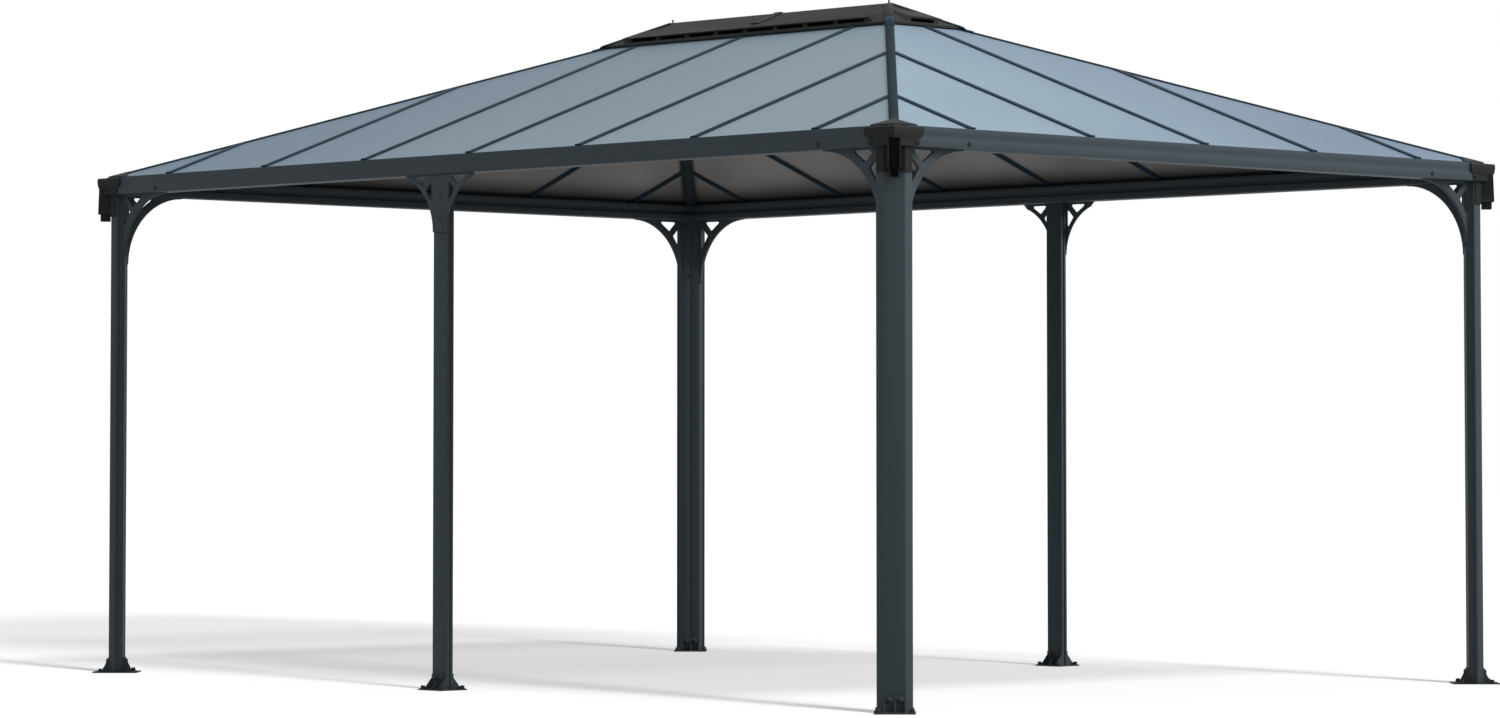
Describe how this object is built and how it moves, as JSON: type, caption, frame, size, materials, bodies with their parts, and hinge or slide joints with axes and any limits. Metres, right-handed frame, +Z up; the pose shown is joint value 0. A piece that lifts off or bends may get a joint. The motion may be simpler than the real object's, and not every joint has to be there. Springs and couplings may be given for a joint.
{
  "type": "garden gazebo",
  "caption": "Open metal garden gazebo on bolted feet with corner braces, rain gutters and a hipped roof of twin-wall panels under a vented ridge cap.",
  "frame": {"origin": "middle of the ground plane under the roof, on the feet's undersides", "axes": "+X along the long side to the right, +Y from front to back, +Z up"},
  "size_m": [5.071, 3.725, 2.8904],
  "materials": {
    "frame": "satin powder coat, dark grey",
    "plastic": "moulded, matt black",
    "foot": "satin powder coat, dark grey",
    "panel": "twin-wall sheet, blue-grey tint"
  },
  "bodies": {
    "root": {"foot_front_left": "foot", "foot_front_mid": "foot", "foot_front_right": "foot", "foot_back_left": "foot", "foot_back_mid": "foot", "foot_back_right": "foot", "post_front_left": "frame", "post_front_mid": "frame", "post_front_right": "frame", "post_back_left": "frame", "post_back_mid": "frame", "post_back_right": "frame", "joining_plate_front": "frame", "joining_plate_back": "frame", "gutter_front": "frame", "gutter_right": "frame", "gutter_back": "frame", "gutter_left": "frame", "braces_front_left": "frame", "braces_front_mid": "frame", "braces_front_right": "frame", "braces_back_left": "frame", "braces_back_mid": "frame", "braces_back_right": "frame", "corner_cover_front_left": "plastic", "corner_cover_front_right": "plastic", "corner_cover_back_left": "plastic", "corner_cover_back_right": "plastic", "hip_front_left": "frame", "hip_front_right": "frame", "hip_back_left": "frame", "hip_back_right": "frame", "rafters_front": "frame", "rafters_right": "frame", "rafters_back": "frame", "rafters_left": "frame", "panels_front": "panel", "panels_right": "panel", "panels_back": "panel", "panels_left": "panel", "ridge_beam": "frame", "vent_base_frame": "plastic", "ridge_cap": "plastic"}
  },
  "joints": []
}
